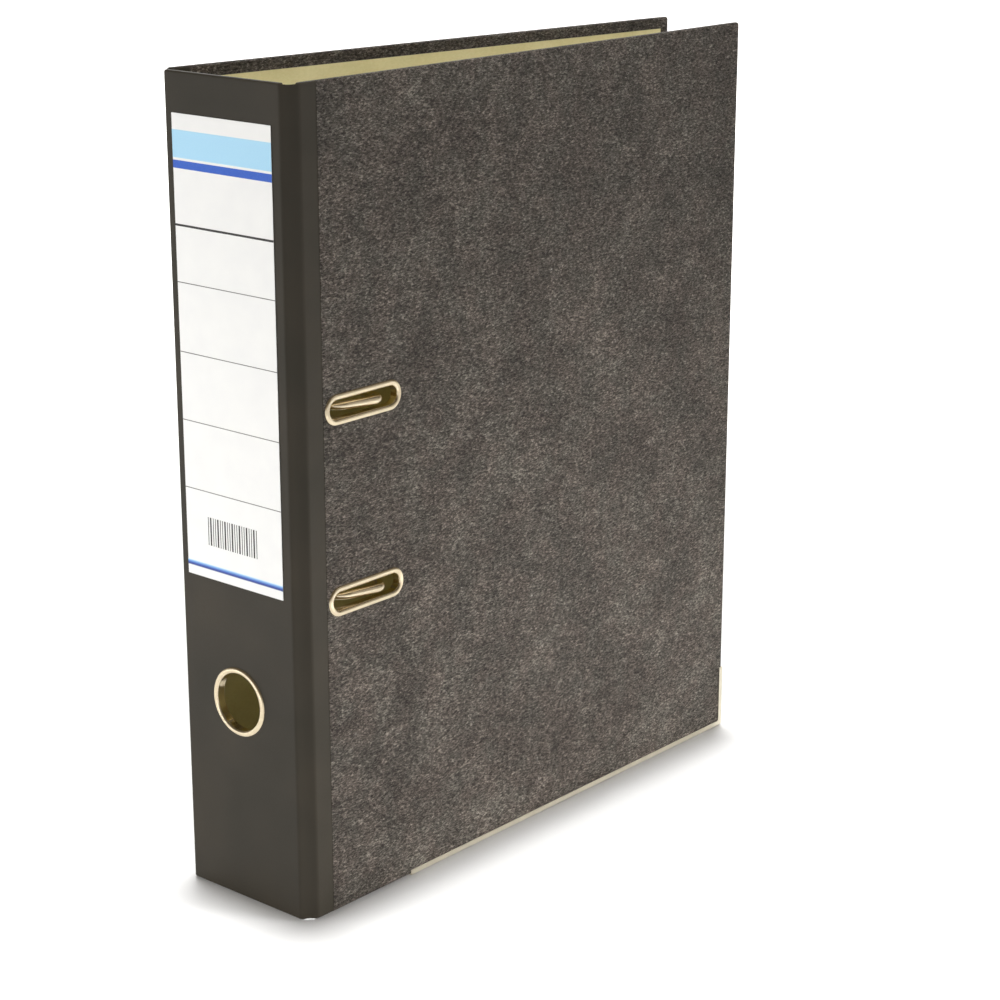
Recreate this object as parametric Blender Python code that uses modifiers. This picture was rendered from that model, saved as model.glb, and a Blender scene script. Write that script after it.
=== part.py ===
"""A foolscap lever arch file, standing closed on its lower edges.

Metres, +Z up. The spine faces -Y, the front cover is on +X and the back cover, which carries the mechanism, on -X.
Sizes are first given in the case's own coordinates: x from the middle of the spine, y from the spine's outer face,
z from the surface it stands on, with both covers square to the spine. Each body's empty then turns its pieces into
their rest position.
"""

import math

import bmesh
import bpy
from mathutils import Matrix, Vector

MM = 0.001

# The case
HEIGHT = 346 * MM
DEPTH = 290 * MM
OUTER_HALF = 37.2 * MM
SHOE_DROP = 0.4 * MM
PAPER = 0.35 * MM
BOARD = 1.9 * MM
LINING = 0.25 * MM
GAP = 0.1 * MM
WALL = PAPER + GAP + BOARD + GAP + LINING
TURN_IN = 5 * MM
SPINE_HALF = 31.6 * MM
HINGE_X = 34.4 * MM
HINGE_Y = 3.2 * MM
COVER_START = 6 * MM
BAND_END = 14.7 * MM
BACK_LEAN = math.radians(6.5)

# What is fixed to the case
LABEL = (55.5 * MM, 190 * MM)
LABEL_AT = (-0.5 * MM, 234.7 * MM)
LABEL_THICK = 0.2 * MM
RING_AT = (-0.7 * MM, 89 * MM)
RING_HOLE = 24.8 * MM
SLOT = (38.8 * MM, 7.8 * MM)
SLOT_Y = 37.4 * MM
SLOT_Z = (136 * MM, 216 * MM)
RIM = 2.6 * MM
RIM_PROUD = 0.7 * MM
BARREL = 0.5 * MM
SHOE_START = 62 * MM
SHOE_RISE = 30.5 * MM
SHOE_LEG = 2.3 * MM
SHOE_METAL = 0.3 * MM

# The mechanism: y as above, h is the height over the back cover's lining
FILING_Z = (135.4 * MM, 215.4 * MM)
PLATE_Y = (18 * MM, 66 * MM)
PLATE_Z = (96 * MM, 256 * MM)
PLATE = 1 * MM
RIVET_INSET = 5.5 * MM
RIVET_R = 2 * MM
WIRE = 4 * MM
SHAFT = (30 * MM, 6 * MM)
ARCH_SHOULDER = (31.3 * MM, 62.9 * MM)
POST_Y = 56.5 * MM
POST_TOP = 54 * MM
POST_R = 2.3 * MM
ARCH_TOP = 65.8 * MM
CRANK = (39 * MM, 4.2 * MM)
CRANK_Z = (164 * MM, 195 * MM)
LUG_Z = (142 * MM, 210 * MM)
LUG_WIDE = 3.4 * MM
LEVER_PIVOT = (12 * MM, 204 * MM)
LEVER_HALF = 4.4 * MM
LEVER_LENGTH = 54 * MM
SHEET_STEEL = 0.8 * MM
PIN_R = 1.5 * MM
ROLLER_ARM = 14 * MM
ROLLER_R = 4 * MM
CLAMP_H = 14.3 * MM
CLAMP_HALF = 8 * MM
CLAMP_Z = (121 * MM, 231 * MM)
CLAMP_METAL = 1.5 * MM

# Turn a flat outline's (first, second) coordinates into the case's axes
FACE_X = Matrix(((0, 0, 1, 0), (1, 0, 0, 0), (0, 1, 0, 0), (0, 0, 0, 1)))
FACE_Y = Matrix(((1, 0, 0, 0), (0, 0, -1, 0), (0, 1, 0, 0), (0, 0, 0, 1)))
SIDE_ON = Matrix(((0, 1, 0, 0), (0, 0, 1, 0), (1, 0, 0, 0), (0, 0, 0, 1)))

MATERIALS = {
    "greyboard": ((0.30, 0.28, 0.25, 1), 0.90, 0.0),
    "spine_paper": ((0.075, 0.068, 0.058, 1), 0.55, 0.0),
    "marbled_paper": ((0.105, 0.092, 0.080, 1), 0.60, 0.0),
    "cream_paper": ((0.62, 0.56, 0.36, 1), 0.80, 0.0),
    "label_paper": ((0.90, 0.91, 0.92, 1), 0.50, 0.0),
    "nickel": ((0.80, 0.76, 0.66, 1), 0.22, 1.0),
    "edge_nickel": ((0.78, 0.76, 0.69, 1), 0.35, 1.0),
    "steel": ((0.70, 0.70, 0.70, 1), 0.30, 1.0),
    "spring_steel": ((0.45, 0.46, 0.48, 1), 0.30, 1.0),
    "black_plastic": ((0.03, 0.03, 0.03, 1), 0.40, 0.0),
}


class Body:
    """An empty on the joint that its pieces turn about. Its pivot is kept in the case's coordinates."""

    def __init__(self, name, pivot, parent=None, turn=0.0):
        self.pivot = Vector(pivot)
        self.empty = bpy.data.objects.new(name, None)
        self.empty.empty_display_size = 20 * MM
        PARTS.objects.link(self.empty)
        self.empty.rotation_euler.z = turn
        self.empty.location = self.pivot
        if parent:
            self.empty.parent = parent.empty
            self.empty.location = self.pivot - parent.pivot

    def hold(self, obj, at, facing=Matrix.Identity(4)):
        obj.parent = self.empty
        obj.matrix_local = Matrix.Translation(Vector(at) - self.pivot) @ facing
        return obj


def collection(name):
    made = bpy.data.collections.new(name)
    bpy.context.scene.collection.children.link(made)
    return made


def material(name):
    found = bpy.data.materials.get(name)
    if found:
        return found
    made = bpy.data.materials.new(name)
    made.use_nodes = True
    colour, roughness, metallic = MATERIALS[name]
    shader = made.node_tree.nodes["Principled BSDF"]
    shader.inputs["Base Color"].default_value = colour
    shader.inputs["Roughness"].default_value = roughness
    shader.inputs["Metallic"].default_value = metallic
    made.diffuse_color = colour
    return made


def add(name, data, finish):
    """A new object in the parts, or in the cutters where it has no finish."""
    obj = bpy.data.objects.new(name, data)
    if finish:
        PARTS.objects.link(obj)
        data.materials.append(material(finish))
    else:
        CUTTERS.objects.link(obj)
        obj.hide_render = True
        obj.display_type = "WIRE"
    return obj


def as_mesh(obj):
    """The curve object made a closed mesh in the same place."""
    graph = bpy.context.evaluated_depsgraph_get()
    mesh = bpy.data.meshes.new_from_object(obj.evaluated_get(graph))
    shape = bmesh.new()
    shape.from_mesh(mesh)
    bmesh.ops.remove_doubles(shape, verts=shape.verts, dist=1e-6)
    bmesh.ops.recalc_face_normals(shape, faces=shape.faces)
    shape.to_mesh(mesh)
    shape.free()
    name = obj.name
    curve = obj.data
    made = bpy.data.objects.new(name + "_mesh", mesh)
    obj.users_collection[0].objects.link(made)
    made.hide_render = obj.hide_render
    made.display_type = obj.display_type
    made.parent = obj.parent
    made.matrix_local = obj.matrix_local
    bpy.data.objects.remove(obj)
    bpy.data.curves.remove(curve)
    made.name = name
    return made


def box(name, low, high, body, finish=None):
    """A box between two corners in the case's coordinates."""
    low, high = Vector(low), Vector(high)
    shape = bmesh.new()
    bmesh.ops.create_cube(shape, size=1)
    bmesh.ops.scale(shape, vec=high - low, verts=shape.verts)
    mesh = bpy.data.meshes.new(name)
    shape.to_mesh(mesh)
    shape.free()
    return body.hold(add(name, mesh, finish), (low + high) / 2)


def outline_curve(name, outlines, thickness):
    """A 2D curve: the first outline is the edge and the others are holes."""
    curve = bpy.data.curves.new(name, "CURVE")
    curve.dimensions = "2D"
    curve.fill_mode = "BOTH"
    curve.extrude = thickness / 2
    for outline in outlines:
        spline = curve.splines.new("POLY")
        spline.points.add(len(outline) - 1)
        for point, (first, second) in zip(spline.points, outline):
            point.co = (first, second, 0, 1)
        spline.use_cyclic_u = True
    return curve


def sheet(name, outlines, thickness, at, facing, body, finish=None):
    """A flat piece, its middle plane through the point at."""
    obj = add(name, outline_curve(name, outlines, thickness), finish)
    return body.hold(obj, at, facing)


def rectangle(low, high, corner=0.0, steps=4):
    """A rectangle's outline from its low to its high corner, with its corners rounded."""
    (x0, y0), (x1, y1) = low, high
    if not corner:
        return [(x0, y0), (x1, y0), (x1, y1), (x0, y1)]
    centres = (
        (x1 - corner, y1 - corner, 0),
        (x0 + corner, y1 - corner, 90),
        (x0 + corner, y0 + corner, 180),
        (x1 - corner, y0 + corner, 270),
    )
    return [point for x, y, start in centres for point in arc(x, y, corner, start, start + 90, steps)]


def arc(x, y, radius, start, end, steps):
    """Points on an arc between two angles in degrees."""
    angles = [math.radians(start + (end - start) * i / steps) for i in range(steps + 1)]
    return [(x + radius * math.cos(a), y + radius * math.sin(a)) for a in angles]


def circle(x, y, radius, sides=32):
    return arc(x, y, radius, 0, 360 - 360 / sides, sides - 1)


def stadium(x, y, length, width, steps=12):
    """A slot with round ends, its length along the first axis."""
    radius, reach = width / 2, (length - width) / 2
    return arc(x + reach, y, radius, -90, 90, steps) + arc(x - reach, y, radius, 90, 270, steps)


def cylinder(name, centre, radius, length, facing, body, finish=None, sides=32):
    """A cylinder whose axis is the facing's normal, centred on a point."""
    return sheet(name, [circle(0, 0, radius, sides)], length, centre, facing, body, finish)


def cut(obj, *cutters, operation="DIFFERENCE"):
    for cutter in cutters:
        boolean = obj.modifiers.new(cutter.name, "BOOLEAN")
        boolean.operation = operation
        boolean.solver = "EXACT"
        boolean.object = as_mesh(cutter) if cutter.type == "CURVE" else cutter
    return obj


def turned(name, profile, at, facing, body, finish, steps=32):
    """A turned piece: the profile is (radius, height along the axis) from the top down its outer side."""
    mesh = bpy.data.meshes.new(name)
    edges = [(i, i + 1) for i in range(len(profile) - 1)]
    mesh.from_pydata([(radius, 0, height) for radius, height in profile], edges, [])
    obj = body.hold(add(name, mesh, finish), at, facing)
    screw = obj.modifiers.new("turn", "SCREW")
    screw.axis = "Z"
    screw.steps = steps
    screw.render_steps = steps
    screw.use_merge_vertices = True
    screw.merge_threshold = 1e-6
    return obj


def rim(name, path, depth, at, facing, body):
    """A rolled eyelet around an opening: a flange that stands proud and a barrel that goes in to a depth."""
    profile = bpy.data.curves.new(name + "_profile", "CURVE")
    profile.dimensions = "2D"
    profile.fill_mode = "NONE"
    spline = profile.splines.new("POLY")
    roll = arc(RIM - RIM_PROUD / 2, RIM_PROUD / 2, RIM_PROUD / 2 - 0.05 * MM, -90, 90, 6)
    lip = arc(RIM_PROUD, 0, RIM_PROUD * 0.9, 90, 180, 4)
    points = [(BARREL, RIM_PROUD * 0.1)] + roll + lip + [(0, -depth), (BARREL, -depth)]
    spline.points.add(len(points) - 1)
    for point, (out, up) in zip(spline.points, points):
        point.co = (-out, up, 0, 1)
    spline.use_cyclic_u = True
    guide = add(name + "_profile", profile, None)
    curve = outline_curve(name, [path], 0)
    curve.fill_mode = "NONE"
    curve.bevel_mode = "OBJECT"
    curve.bevel_object = guide
    obj = as_mesh(body.hold(add(name, curve, "nickel"), at, facing))
    obj.data.set_sharp_from_angle(angle=math.radians(40))
    return obj


def filleted(corners, radii, steps=6):
    """The points of a bent wire: straight runs between corners, each inner corner rounded to its radius."""
    points = [corners[0]]
    for before, corner, after, radius in zip(corners, corners[1:], corners[2:], radii):
        into = (corner - before).normalized()
        out = (after - corner).normalized()
        half = into.angle(out) / 2
        start = corner - into * radius * math.tan(half)
        centre = start + (out - into * into.dot(out)).normalized() * radius
        side = into.cross(out).normalized()
        for i in range(steps + 1):
            turn = Matrix.Rotation(2 * half * i / steps, 3, side)
            points.append(centre + turn @ (start - centre))
    return points + [corners[-1]]


def wire(name, points, body, finish):
    curve = bpy.data.curves.new(name, "CURVE")
    curve.dimensions = "3D"
    curve.bevel_depth = WIRE / 2
    curve.bevel_resolution = 3
    curve.use_fill_caps = True
    spline = curve.splines.new("POLY")
    spline.points.add(len(points) - 1)
    for point, place in zip(spline.points, points):
        point.co = (*(place - body.pivot), 1)
    return body.hold(add(name, curve, finish), body.pivot)


def over_back(height):
    """The case's x at a height over the back cover's lining."""
    return -OUTER_HALF + WALL + height


# ---------------------------------------------------------------- spine


def spine_pieces(body):
    edge = SPINE_HALF + 1 * MM
    hole = RING_HOLE / 2 + BARREL + 0.2 * MM
    low, high = SHOE_DROP, HEIGHT
    board = [
        rectangle((-SPINE_HALF + GAP, low + PAPER + GAP), (SPINE_HALF - GAP, high - PAPER - GAP)),
        circle(*RING_AT, hole),
    ]
    sheet("spine_board", board, BOARD, (0, PAPER + GAP + BOARD / 2, 0), FACE_Y, body, "greyboard")
    covering = box("spine_covering", (-SPINE_HALF, 0, low), (SPINE_HALF, WALL, high), body, "spine_paper")
    cut(
        covering,
        box("spine_cavity", (-edge, PAPER, low + PAPER), (edge, WALL - LINING, high - PAPER), body),
        box("spine_window", (-edge, PAPER, low + TURN_IN), (edge, WALL + MM, high - TURN_IN), body),
        cylinder("spine_hole", (RING_AT[0], 0, RING_AT[1]), hole, 4 * MM, FACE_Y, body),
    )
    lining = [
        rectangle((-SPINE_HALF, low + TURN_IN + GAP), (SPINE_HALF, high - TURN_IN - GAP)),
        circle(*RING_AT, hole),
    ]
    sheet("spine_lining", lining, LINING, (0, WALL - LINING / 2, 0), FACE_Y, body, "cream_paper")
    half = Vector(LABEL) / 2
    label = rectangle(Vector(LABEL_AT) - half, Vector(LABEL_AT) + half)
    label_y = -GAP - LABEL_THICK / 2
    sheet("spine_label", [label], LABEL_THICK, (0, label_y, 0), FACE_Y, body, "label_paper")


def hinge_strip(name, side, lean, body):
    """The part of the black covering that bends between the spine and a cover."""
    start = Vector((side * (SPINE_HALF + PAPER), 0))
    end = Vector((OUTER_HALF - HINGE_X, COVER_START - HINGE_Y - PAPER))
    end = Vector((side * HINGE_X, HINGE_Y)) + Matrix.Rotation(lean, 2) @ Vector((side * end.x, end.y))
    along = (end - start).normalized()
    inward = Vector((-side * along.y, side * along.x)) * PAPER
    corners = [start, end, end + inward, start + inward]
    middle = (HEIGHT + SHOE_DROP) / 2
    sheet(name, [corners], HEIGHT - SHOE_DROP, (0, 0, middle), Matrix.Identity(4), body, "spine_paper")


def finger_ring(body):
    x, z = RING_AT
    depth = WALL + GAP + SHOE_METAL + GAP
    rim("finger_ring", circle(0, 0, RING_HOLE / 2, 48), depth, (x, 0, z), FACE_Y, body)
    washer = [circle(0, 0, RING_HOLE / 2 + RIM - 0.4 * MM, 48), circle(0, 0, RING_HOLE / 2 + BARREL + GAP, 48)]
    at = (x, WALL + GAP + SHOE_METAL / 2, z)
    sheet("finger_ring_washer", washer, SHOE_METAL, at, FACE_Y, body, "nickel")


# ---------------------------------------------------------------- covers


def cover(side, name, holes, body):
    """A cover's board, marbled covering, black hinge band, lining and metal shoe."""

    def layer(near, far):
        """x from the outer face inwards, between two depths."""
        ends = sorted((side * (OUTER_HALF - near), side * (OUTER_HALF - far)))
        return ends[0], ends[1]

    low, high = SHOE_DROP, HEIGHT
    fore = DEPTH - SHOE_DROP
    beyond = COVER_START - 1 * MM
    skin, inner = PAPER + GAP, WALL - LINING

    outline = rectangle((COVER_START + GAP, low + skin), (fore - skin, high - skin))
    middle = side * (OUTER_HALF - skin - BOARD / 2)
    sheet(name + "_board", [outline] + holes, BOARD, (middle, 0, 0), FACE_X, body, "greyboard")

    x = layer(0, WALL)
    covering = box(name + "_covering", (x[0], BAND_END, low), (x[1], fore, high), body, "marbled_paper")
    x = layer(PAPER, inner)
    cavity = box(name + "_cavity", (x[0], beyond, low + PAPER), (x[1], fore - PAPER, high - PAPER), body)
    x = layer(PAPER, WALL + MM)
    window = box(name + "_window", (x[0], beyond, low + TURN_IN), (x[1], fore - TURN_IN, high - TURN_IN), body)
    cut(covering, cavity, window)
    for i, hole in enumerate(holes):
        at = (side * OUTER_HALF, 0, 0)
        cut(covering, sheet(f"{name}_hole_{i}", [hole], 2 * MM, at, FACE_X, body))

    x = layer(0, WALL)
    band = box(name + "_hinge_band", (x[0], COVER_START, low), (x[1], BAND_END - GAP, high), body, "spine_paper")
    x = layer(PAPER, inner)
    edge = BAND_END + 1 * MM
    cavity = box(name + "_band_cavity", (x[0], beyond, low + PAPER), (x[1], edge, high - PAPER), body)
    x = layer(PAPER, WALL + MM)
    window = box(name + "_band_window", (x[0], beyond, low + TURN_IN), (x[1], edge, high - TURN_IN), body)
    cut(band, cavity, window)

    corners = (COVER_START, low + TURN_IN + GAP), (fore - TURN_IN - GAP, high - TURN_IN - GAP)
    outlines = [rectangle(*corners)] + holes
    middle = side * (OUTER_HALF - WALL + LINING / 2)
    sheet(name + "_lining", outlines, LINING, (middle, 0, 0), FACE_X, body, "cream_paper")
    metal_shoe(side, name, body)


def metal_shoe(side, name, body):
    """A nickel channel over the lower edge, turned up over the fore-edge corner."""
    outline = [
        (SHOE_START, 0),
        (DEPTH, 0),
        (DEPTH, SHOE_RISE),
        (DEPTH - SHOE_LEG, SHOE_RISE),
        (DEPTH - SHOE_LEG, SHOE_LEG),
        (SHOE_START, SHOE_LEG),
    ]
    outside = WALL + 2 * (GAP + SHOE_METAL)
    middle = side * (OUTER_HALF - WALL / 2)
    shoe = sheet(name + "_metal_edge", [outline], outside, (middle, 0, 0), FACE_X, body, "edge_nickel")
    half = WALL / 2 + GAP
    room = box(
        name + "_shoe_room",
        (middle - half, SHOE_START - MM, SHOE_METAL),
        (middle + half, DEPTH - SHOE_METAL, SHOE_RISE + MM),
        body,
    )
    cut(as_mesh(shoe), room)


def slot_outline(z, grow):
    return stadium(SLOT_Y, z, SLOT[0] + 2 * grow, SLOT[1] + 2 * grow)


def slot_eyelets(body):
    for place, z in zip(("lower", "upper"), SLOT_Z):
        depth = WALL + GAP + SHOE_METAL + GAP
        at = (OUTER_HALF, SLOT_Y, z)
        rim(f"slot_eyelet_{place}", stadium(0, 0, *SLOT), depth, at, FACE_X, body)
        washer = [slot_outline(z, RIM - 0.4 * MM), slot_outline(z, BARREL + GAP)]
        at = (OUTER_HALF - WALL - GAP - SHOE_METAL / 2, 0, 0)
        sheet(f"slot_washer_{place}", washer, SHOE_METAL, at, FACE_X, body, "nickel")


# ---------------------------------------------------------------- mechanism on the back cover


def rivet_places():
    return [
        (y, z)
        for z in (PLATE_Z[0] + RIVET_INSET, PLATE_Z[1] - RIVET_INSET)
        for y in (PLATE_Y[0] + RIVET_INSET, PLATE_Y[1] - RIVET_INSET)
    ]


def base_plate(body):
    """The stamped plate, with two lugs curled over the arch wire's shaft."""
    holes = [circle(y, z, RIVET_R + 0.2 * MM, 16) for y, z in rivet_places()]
    holes += [circle(POST_Y, z, RIVET_R, 16) for z in FILING_Z]
    outlines = [rectangle((PLATE_Y[0], PLATE_Z[0]), (PLATE_Y[1], PLATE_Z[1]), 5 * MM)] + holes
    at = (over_back(GAP + PLATE / 2), 0, 0)
    plate = as_mesh(sheet("base_plate", outlines, PLATE, at, FACE_X, body, "steel"))
    inner, outer = WIRE / 2 + 0.15 * MM, WIRE / 2 + 1 * MM
    y, h = SHAFT
    foot = h - PLATE
    saddle = (
        [(-outer, -foot)]
        + [(a, b) for a, b in arc(0, 0, outer, 180, 0, 10)]
        + [(outer, -foot), (inner, -foot)]
        + [(a, b) for a, b in arc(0, 0, inner, 0, 180, 10)]
        + [(-inner, -foot)]
    )
    across = Matrix(((0, 1, 0, 0), (-1, 0, 0, 0), (0, 0, 1, 0), (0, 0, 0, 1)))
    for i, z in enumerate(LUG_Z):
        at = (over_back(h), y, z)
        cut(plate, sheet(f"lug_{i}", [saddle], LUG_WIDE, at, across, body), operation="UNION")


def posts(body):
    foot, shoulder = GAP, GAP + PLATE + 0.15 * MM
    profile = [
        (0, POST_TOP),
        (0.6 * MM, POST_TOP - 0.2 * MM),
        (POST_R, POST_TOP - 4 * MM),
        (POST_R, shoulder + 2 * MM),
        (POST_R + 1.5 * MM, shoulder + 1 * MM),
        (POST_R + 1.5 * MM, shoulder),
        (RIVET_R - 0.2 * MM, shoulder),
        (RIVET_R - 0.2 * MM, foot),
        (0, foot),
    ]
    for place, z in zip(("lower", "upper"), FILING_Z):
        at = (over_back(0), POST_Y, z)
        turned(f"post_{place}", profile, at, FACE_X, body, "nickel", 20)


def rivets(body):
    """Each rivet's wide head is on the outside of the back cover."""
    outer = -WALL - GAP
    inner = PLATE + 2 * GAP
    profile = [
        (0, inner + 0.9 * MM),
        (2.2 * MM, inner + 0.7 * MM),
        (3.2 * MM, inner),
        (RIVET_R, inner),
        (RIVET_R, outer),
        (4.2 * MM, outer),
        (3.4 * MM, outer - 0.7 * MM),
        (1.8 * MM, outer - 1.1 * MM),
        (0, outer - 1.2 * MM),
    ]
    names = ("lower_inner", "lower_outer", "upper_inner", "upper_outer")
    for name, (y, z) in zip(names, rivet_places()):
        turned("rivet_" + name, profile, (over_back(0), y, z), FACE_X, body, "nickel", 20)


def lift_spring(body):
    """A leaf under the crank that lifts it as the lever is raised."""
    low, mid = PLATE + 2 * GAP, PLATE + 5 * GAP
    thick = 0.4 * MM
    line = [(154 * MM, low), (162 * MM, low), (178 * MM, mid), (190 * MM, mid), (197 * MM, low)]
    outline = line + [(z, h + thick) for z, h in reversed(line)]
    at = (over_back(0), CRANK[0], 0)
    sheet("lift_spring", [outline], 6 * MM, at, SIDE_ON, body, "spring_steel")


def lever_bracket(body):
    """Two ears on a foot, which hold the lever's pin."""
    height, z = LEVER_PIVOT
    foot = PLATE + 2 * GAP
    half = LEVER_HALF + 1.4 * MM + SHEET_STEEL
    radius = 4 * MM
    outline = [(z - radius, foot)] + arc(z, height, radius, 180, 0, 10) + [(z + radius, foot)]
    at = (over_back(0), CRANK[0], 0)
    ears = as_mesh(sheet("lever_bracket", [outline], 2 * (half), at, SIDE_ON, body, "steel"))
    room = half - SHEET_STEEL
    gap = box(
        "bracket_room",
        (over_back(foot + SHEET_STEEL), CRANK[0] - room, z - 2 * radius),
        (over_back(height + 2 * radius), CRANK[0] + room, z + 2 * radius),
        body,
    )
    bore = cylinder(
        "bracket_bore", (over_back(height), CRANK[0], z), PIN_R + 0.1 * MM, 4 * half, SIDE_ON, body, sides=20
    )
    cut(ears, gap, bore)


def pin(name, centre, half, body):
    """A pin with a small head at each end, along the cover."""
    head = half + 0.6 * MM
    profile = [
        (0, head),
        (PIN_R + 0.6 * MM, head),
        (PIN_R + 0.6 * MM, half),
        (PIN_R, half),
        (PIN_R, -half),
        (PIN_R + 0.6 * MM, -half),
        (PIN_R + 0.6 * MM, -head),
        (0, -head),
    ]
    turned(name, profile, centre, SIDE_ON, body, "steel", 20)


def lever(body):
    """A channel around the roller that runs out into a flat arm with an upturned end."""
    height, z = LEVER_PIVOT
    boss, skin = 4.4 * MM, 0.9 * MM
    end = LEVER_LENGTH
    top = [(26 * MM, boss), (30 * MM, 2 * MM), (44 * MM, 2 * MM), (50 * MM, 4 * MM), (end, 6.5 * MM)]
    bottom = [(end, 5.4 * MM), (50 * MM, 3 * MM), (44.2 * MM, 1 * MM), (24 * MM, 1 * MM), (18 * MM, -3.4 * MM)]
    side = arc(0, 0, boss, 230, 90, 8) + top + bottom
    outline = [(-reach, up) for reach, up in side]
    at = (over_back(height), CRANK[0], z)
    arm = as_mesh(sheet("lever", [outline], 2 * LEVER_HALF, at, SIDE_ON, body, "steel"))
    room = LEVER_HALF - SHEET_STEEL
    channel = box(
        "lever_channel",
        (over_back(height - 2 * boss), CRANK[0] - room, z - 29 * MM),
        (over_back(height + boss - skin), CRANK[0] + room, z + 2 * boss),
        body,
    )
    flat = box(
        "lever_flat",
        (over_back(height - 2 * boss), CRANK[0] - room, z - 40 * MM),
        (over_back(height + 1 * MM), CRANK[0] + room, z - 28 * MM),
        body,
    )
    bore = cylinder("lever_bore", at, PIN_R + 0.1 * MM, 4 * LEVER_HALF, SIDE_ON, body, sides=20)
    roller_bore = cylinder("roller_bore", roller_centre(), PIN_R + 0.1 * MM, 4 * LEVER_HALF, SIDE_ON, body, sides=20)
    cut(arm, channel, flat, bore, roller_bore)


def roller_centre():
    return (over_back(CRANK[1] + WIRE / 2 + 0.3 * MM + ROLLER_R), CRANK[0], LEVER_PIVOT[1] - ROLLER_ARM)


def roller(body):
    half = LEVER_HALF - SHEET_STEEL - 0.3 * MM
    bore = PIN_R + 0.15 * MM
    rings = [circle(0, 0, ROLLER_R, 32), circle(0, 0, bore, 20)]
    sheet("roller", rings, 2 * half, roller_centre(), SIDE_ON, body, "black_plastic")


def arch_wire(body):
    """Both arches and the cranked shaft between them, bent from one wire."""

    def at(place, z):
        return Vector((over_back(place[1]), place[0], z))

    lower, upper = FILING_Z

    def arch(z):
        return [
            at((POST_Y, POST_TOP + 0.4 * MM), z),
            at((POST_Y, ARCH_TOP), z),
            at(ARCH_SHOULDER, z),
            at(SHAFT, z),
        ]

    shaft = [at(SHAFT, CRANK_Z[1]), at(CRANK, CRANK_Z[1]), at(CRANK, CRANK_Z[0]), at(SHAFT, CRANK_Z[0])]
    corners = arch(upper) + shaft + arch(lower)[::-1]
    bend, shoulder, foot, crank = 4 * MM, 10 * MM, 4 * MM, 3 * MM
    radii = [bend, shoulder, foot] + [crank] * 4 + [foot, shoulder, bend]
    wire("arch_wire", filleted(corners, radii), body, "nickel")


def paper_clamp(body):
    """The bar that holds the papers down, with a plastic grip under it on each post."""
    middle = POST_Y
    outline = rectangle((middle - CLAMP_HALF, CLAMP_Z[0]), (middle + CLAMP_HALF, CLAMP_Z[1]), 6 * MM)
    clearance = POST_R + 0.4 * MM
    holes = [circle(middle, z, clearance, 24) for z in FILING_Z]
    at = (over_back(CLAMP_H + CLAMP_METAL / 2), 0, 0)
    sheet("clamp_bar", [outline] + holes, CLAMP_METAL, at, FACE_X, body, "steel")
    tall = 5 * MM
    for place, z in zip(("lower", "upper"), FILING_Z):
        rings = [circle(0, 0, 5.5 * MM, 32), circle(0, 0, clearance - 0.2 * MM, 24)]
        at = (over_back(CLAMP_H - GAP - tall / 2), middle, z)
        sheet(f"clamp_grip_{place}", rings, tall, at, FACE_X, body, "black_plastic")


def main():
    case = Body("case_origin", (0, 0, 0))
    case.empty.location = (0, -DEPTH / 2, 0)
    front = Body("front_hinge_axis", (HINGE_X, HINGE_Y, 0), case)
    back = Body("back_hinge_axis", (-HINGE_X, HINGE_Y, 0), case, -BACK_LEAN)
    arches = Body("arch_axis", (over_back(SHAFT[1]), SHAFT[0], FILING_Z[0]), back)
    lever_axis = (over_back(LEVER_PIVOT[0]), CRANK[0], LEVER_PIVOT[1])
    handle = Body("lever_axis", lever_axis, back)
    wheel = Body("roller_axis", roller_centre(), handle)
    clamp = Body("clamp_slide", (over_back(CLAMP_H), POST_Y, FILING_Z[0]), back)

    spine_pieces(case)
    hinge_strip("front_hinge_strip", 1, 0, case)
    hinge_strip("back_hinge_strip", -1, -BACK_LEAN, case)
    finger_ring(case)
    cover(1, "front", [slot_outline(z, BARREL + 2 * GAP) for z in SLOT_Z], front)
    slot_eyelets(front)
    cover(-1, "back", [circle(y, z, RIVET_R + 0.2 * MM, 16) for y, z in rivet_places()], back)
    base_plate(back)
    posts(back)
    rivets(back)
    lift_spring(back)
    lever_bracket(back)
    pin("lever_pin", lever_axis, LEVER_HALF + 1.4 * MM + SHEET_STEEL + 0.1 * MM, back)
    arch_wire(arches)
    lever(handle)
    pin("roller_pin", roller_centre(), LEVER_HALF + 0.1 * MM, handle)
    roller(wheel)
    paper_clamp(clamp)


for old in list(bpy.data.objects):
    bpy.data.objects.remove(old)
PARTS = collection("lever_arch_file")
CUTTERS = collection("cutters")
main()
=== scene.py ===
"""Looks of the lever arch file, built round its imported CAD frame.

Shapes are worked out in the case's own coordinates: x from the middle of the spine, y from the spine's
outer face, z from the floor, with both covers square to the spine. On the back cover and its mechanism, h is
the height over the back cover's lining. place() then moves each piece into the frame's coordinates.
"""

import math

import bmesh
import bpy
from mathutils import Matrix, Vector


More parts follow.
